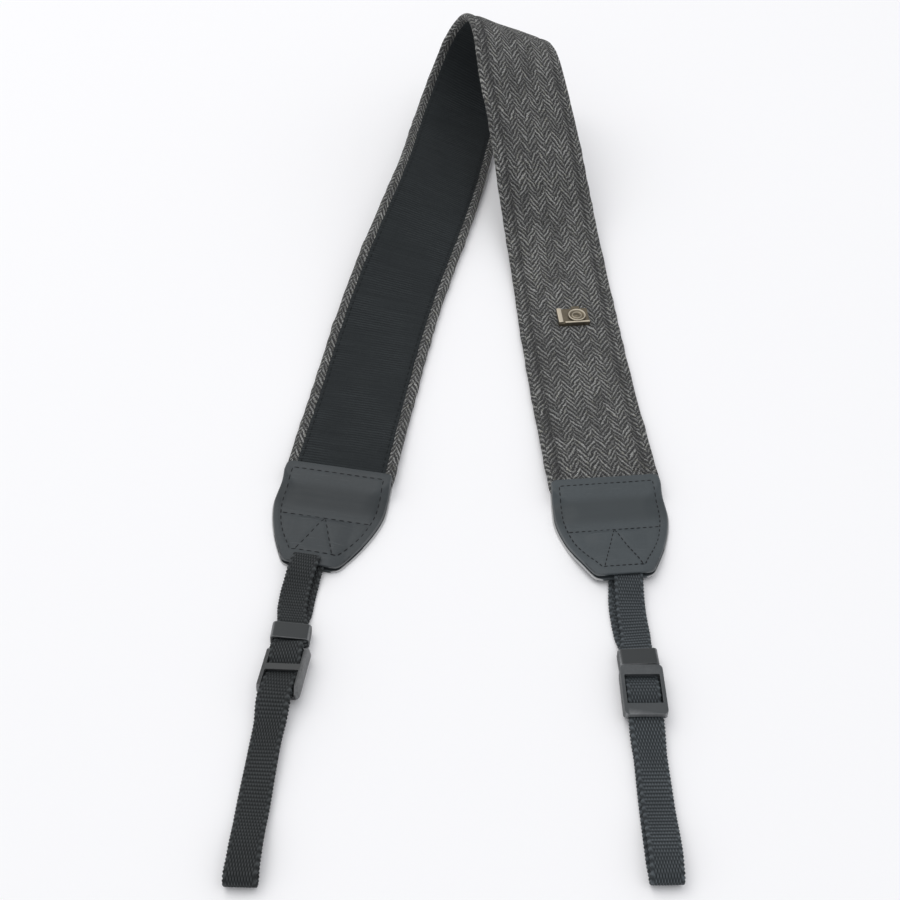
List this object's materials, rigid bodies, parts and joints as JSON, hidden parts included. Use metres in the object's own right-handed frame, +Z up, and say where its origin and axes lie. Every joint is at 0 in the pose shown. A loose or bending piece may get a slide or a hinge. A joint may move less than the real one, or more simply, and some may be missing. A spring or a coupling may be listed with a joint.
{
  "type": "camera strap",
  "caption": "Padded camera neck strap with a herringbone cover, leather ends, webbing loops and plastic sliders, lying in an upside-down V.",
  "frame": {"origin": "middle of the strap's box in plan, on the surface it lies on", "axes": "+X to the right across both legs, +Y away from the webbing loops towards the raised bend, +Z up"},
  "size_m": [0.1414, 0.4082, 0.0585],
  "materials": {
    "tweed": "fuzzy herringbone weave, grey on charcoal",
    "lining": "fine black cross ribs",
    "leather": "semi-matte slate",
    "webbing": "near-black narrow woven webbing",
    "plastic": "matte",
    "brass": "antique"
  },
  "bodies": {
    "root": {"band_cover": "tweed", "band_lining": "lining", "left_tab_front": "leather", "left_tab_back": "leather", "right_tab_front": "leather", "right_tab_back": "leather", "left_webbing": "webbing", "right_webbing": "webbing", "left_keeper": "plastic", "right_keeper": "plastic", "left_slider": "plastic", "right_slider": "plastic", "badge": "brass"}
  },
  "joints": []
}
